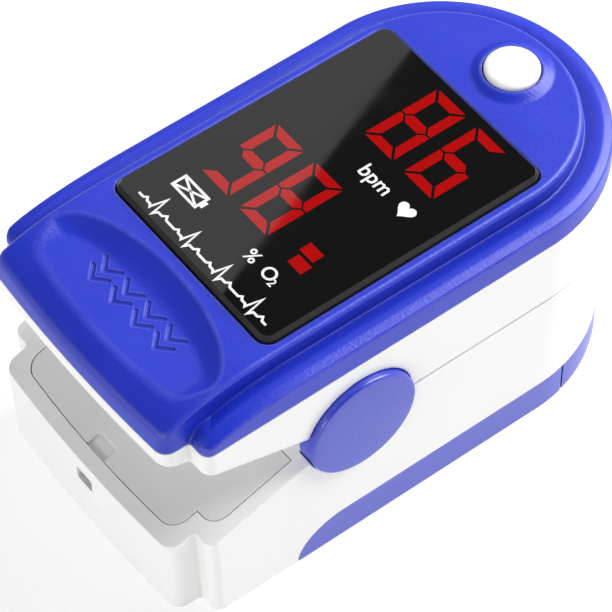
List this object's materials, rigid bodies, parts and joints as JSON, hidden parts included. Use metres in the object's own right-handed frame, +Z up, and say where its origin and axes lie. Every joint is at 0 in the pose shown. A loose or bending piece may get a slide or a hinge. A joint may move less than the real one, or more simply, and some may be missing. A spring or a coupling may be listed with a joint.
{
  "type": "fingertip pulse oximeter",
  "caption": "Fingertip pulse oximeter: two sprung jaws with soft pads that clip on a finger, a red digit display behind black glass, a push button and a sliding battery door.",
  "frame": {"origin": "middle of the base, on the surface that the part rests on", "axes": "+X across the width, +Y towards the round end where the finger goes in, +Z up out of the display"},
  "size_m": [0.0326, 0.0576, 0.0304],
  "materials": {
    "cover_blue": "satin, fine moulded grain",
    "housing_white": "smooth, semi-gloss",
    "panel_white": "fine matt",
    "button_white": "polished",
    "display_glass": "polished smoked acrylic, dark behind",
    "silicone": "soft matt",
    "clear_lens": "tinted, polished",
    "circuit_board": "solder mask",
    "black_plastic": "matt",
    "steel": "bright plated",
    "battery_sleeve": "printed sleeve over a metal can",
    "flex_film": "thin polyimide film"
  },
  "bodies": {
    "lower_jaw": {"lower_housing": "housing_white", "deck_panel": "panel_white", "side_band_left": "cover_blue", "side_band_right": "cover_blue", "battery_tray": "panel_white", "lower_finger_pad": "silicone", "sensor_window": "clear_lens", "photodiode": "black_plastic", "sensor_board": "circuit_board", "flex_cable": "flex_film", "battery_left": "battery_sleeve", "battery_right": "battery_sleeve", "battery_spring_front": "steel", "battery_spring_rear": "steel", "battery_link_plate": "steel", "battery_plate_left": "steel", "battery_plate_right": "steel", "pivot_cap_left": "cover_blue", "pivot_cap_right": "cover_blue", "hinge_pin_left": "steel", "hinge_pin_right": "steel", "torsion_spring_left": "steel", "torsion_spring_right": "steel", "tray_screw_left": "steel", "tray_screw_right": "steel"},
    "battery_door": {"battery_door": "cover_blue"},
    "upper_jaw": {"upper_frame": "housing_white", "top_cover": "cover_blue", "display_glass": "display_glass", "display_module": "black_plastic", "main_board": "circuit_board", "main_chip": "black_plastic", "driver_chip": "black_plastic", "crystal": "steel", "tact_switch": "steel", "upper_finger_pad": "silicone", "emitter_window": "clear_lens", "led_emitter": "black_plastic", "board_connector": "black_plastic", "flex_tail": "flex_film", "cover_screw_front_left": "steel", "cover_screw_front_right": "steel", "cover_screw_rear_left": "steel", "cover_screw_rear_right": "steel"},
    "power_button": {"power_button": "button_white"}
  },
  "joints": [
    {"name": "jaw_hinge", "type": "hinge", "parent": "lower_jaw", "child": "upper_jaw", "pos_m": [0, -0.00855, 0.0168], "axis": [1, 0, 0], "range_deg": [0, 30], "stiffness_Nm_per_rad": 0.12, "springref_deg": -22.92},
    {"name": "battery_door_slide", "type": "slide", "parent": "lower_jaw", "child": "battery_door", "axis": [0, 1, 0], "range_m": [0, 0.04]},
    {"name": "button_press", "type": "slide", "parent": "upper_jaw", "child": "power_button", "axis": [0, 0, -1], "range_m": [0, 0.0005], "stiffness_N_per_m": 1200, "springref_m": -0.0003}
  ]
}
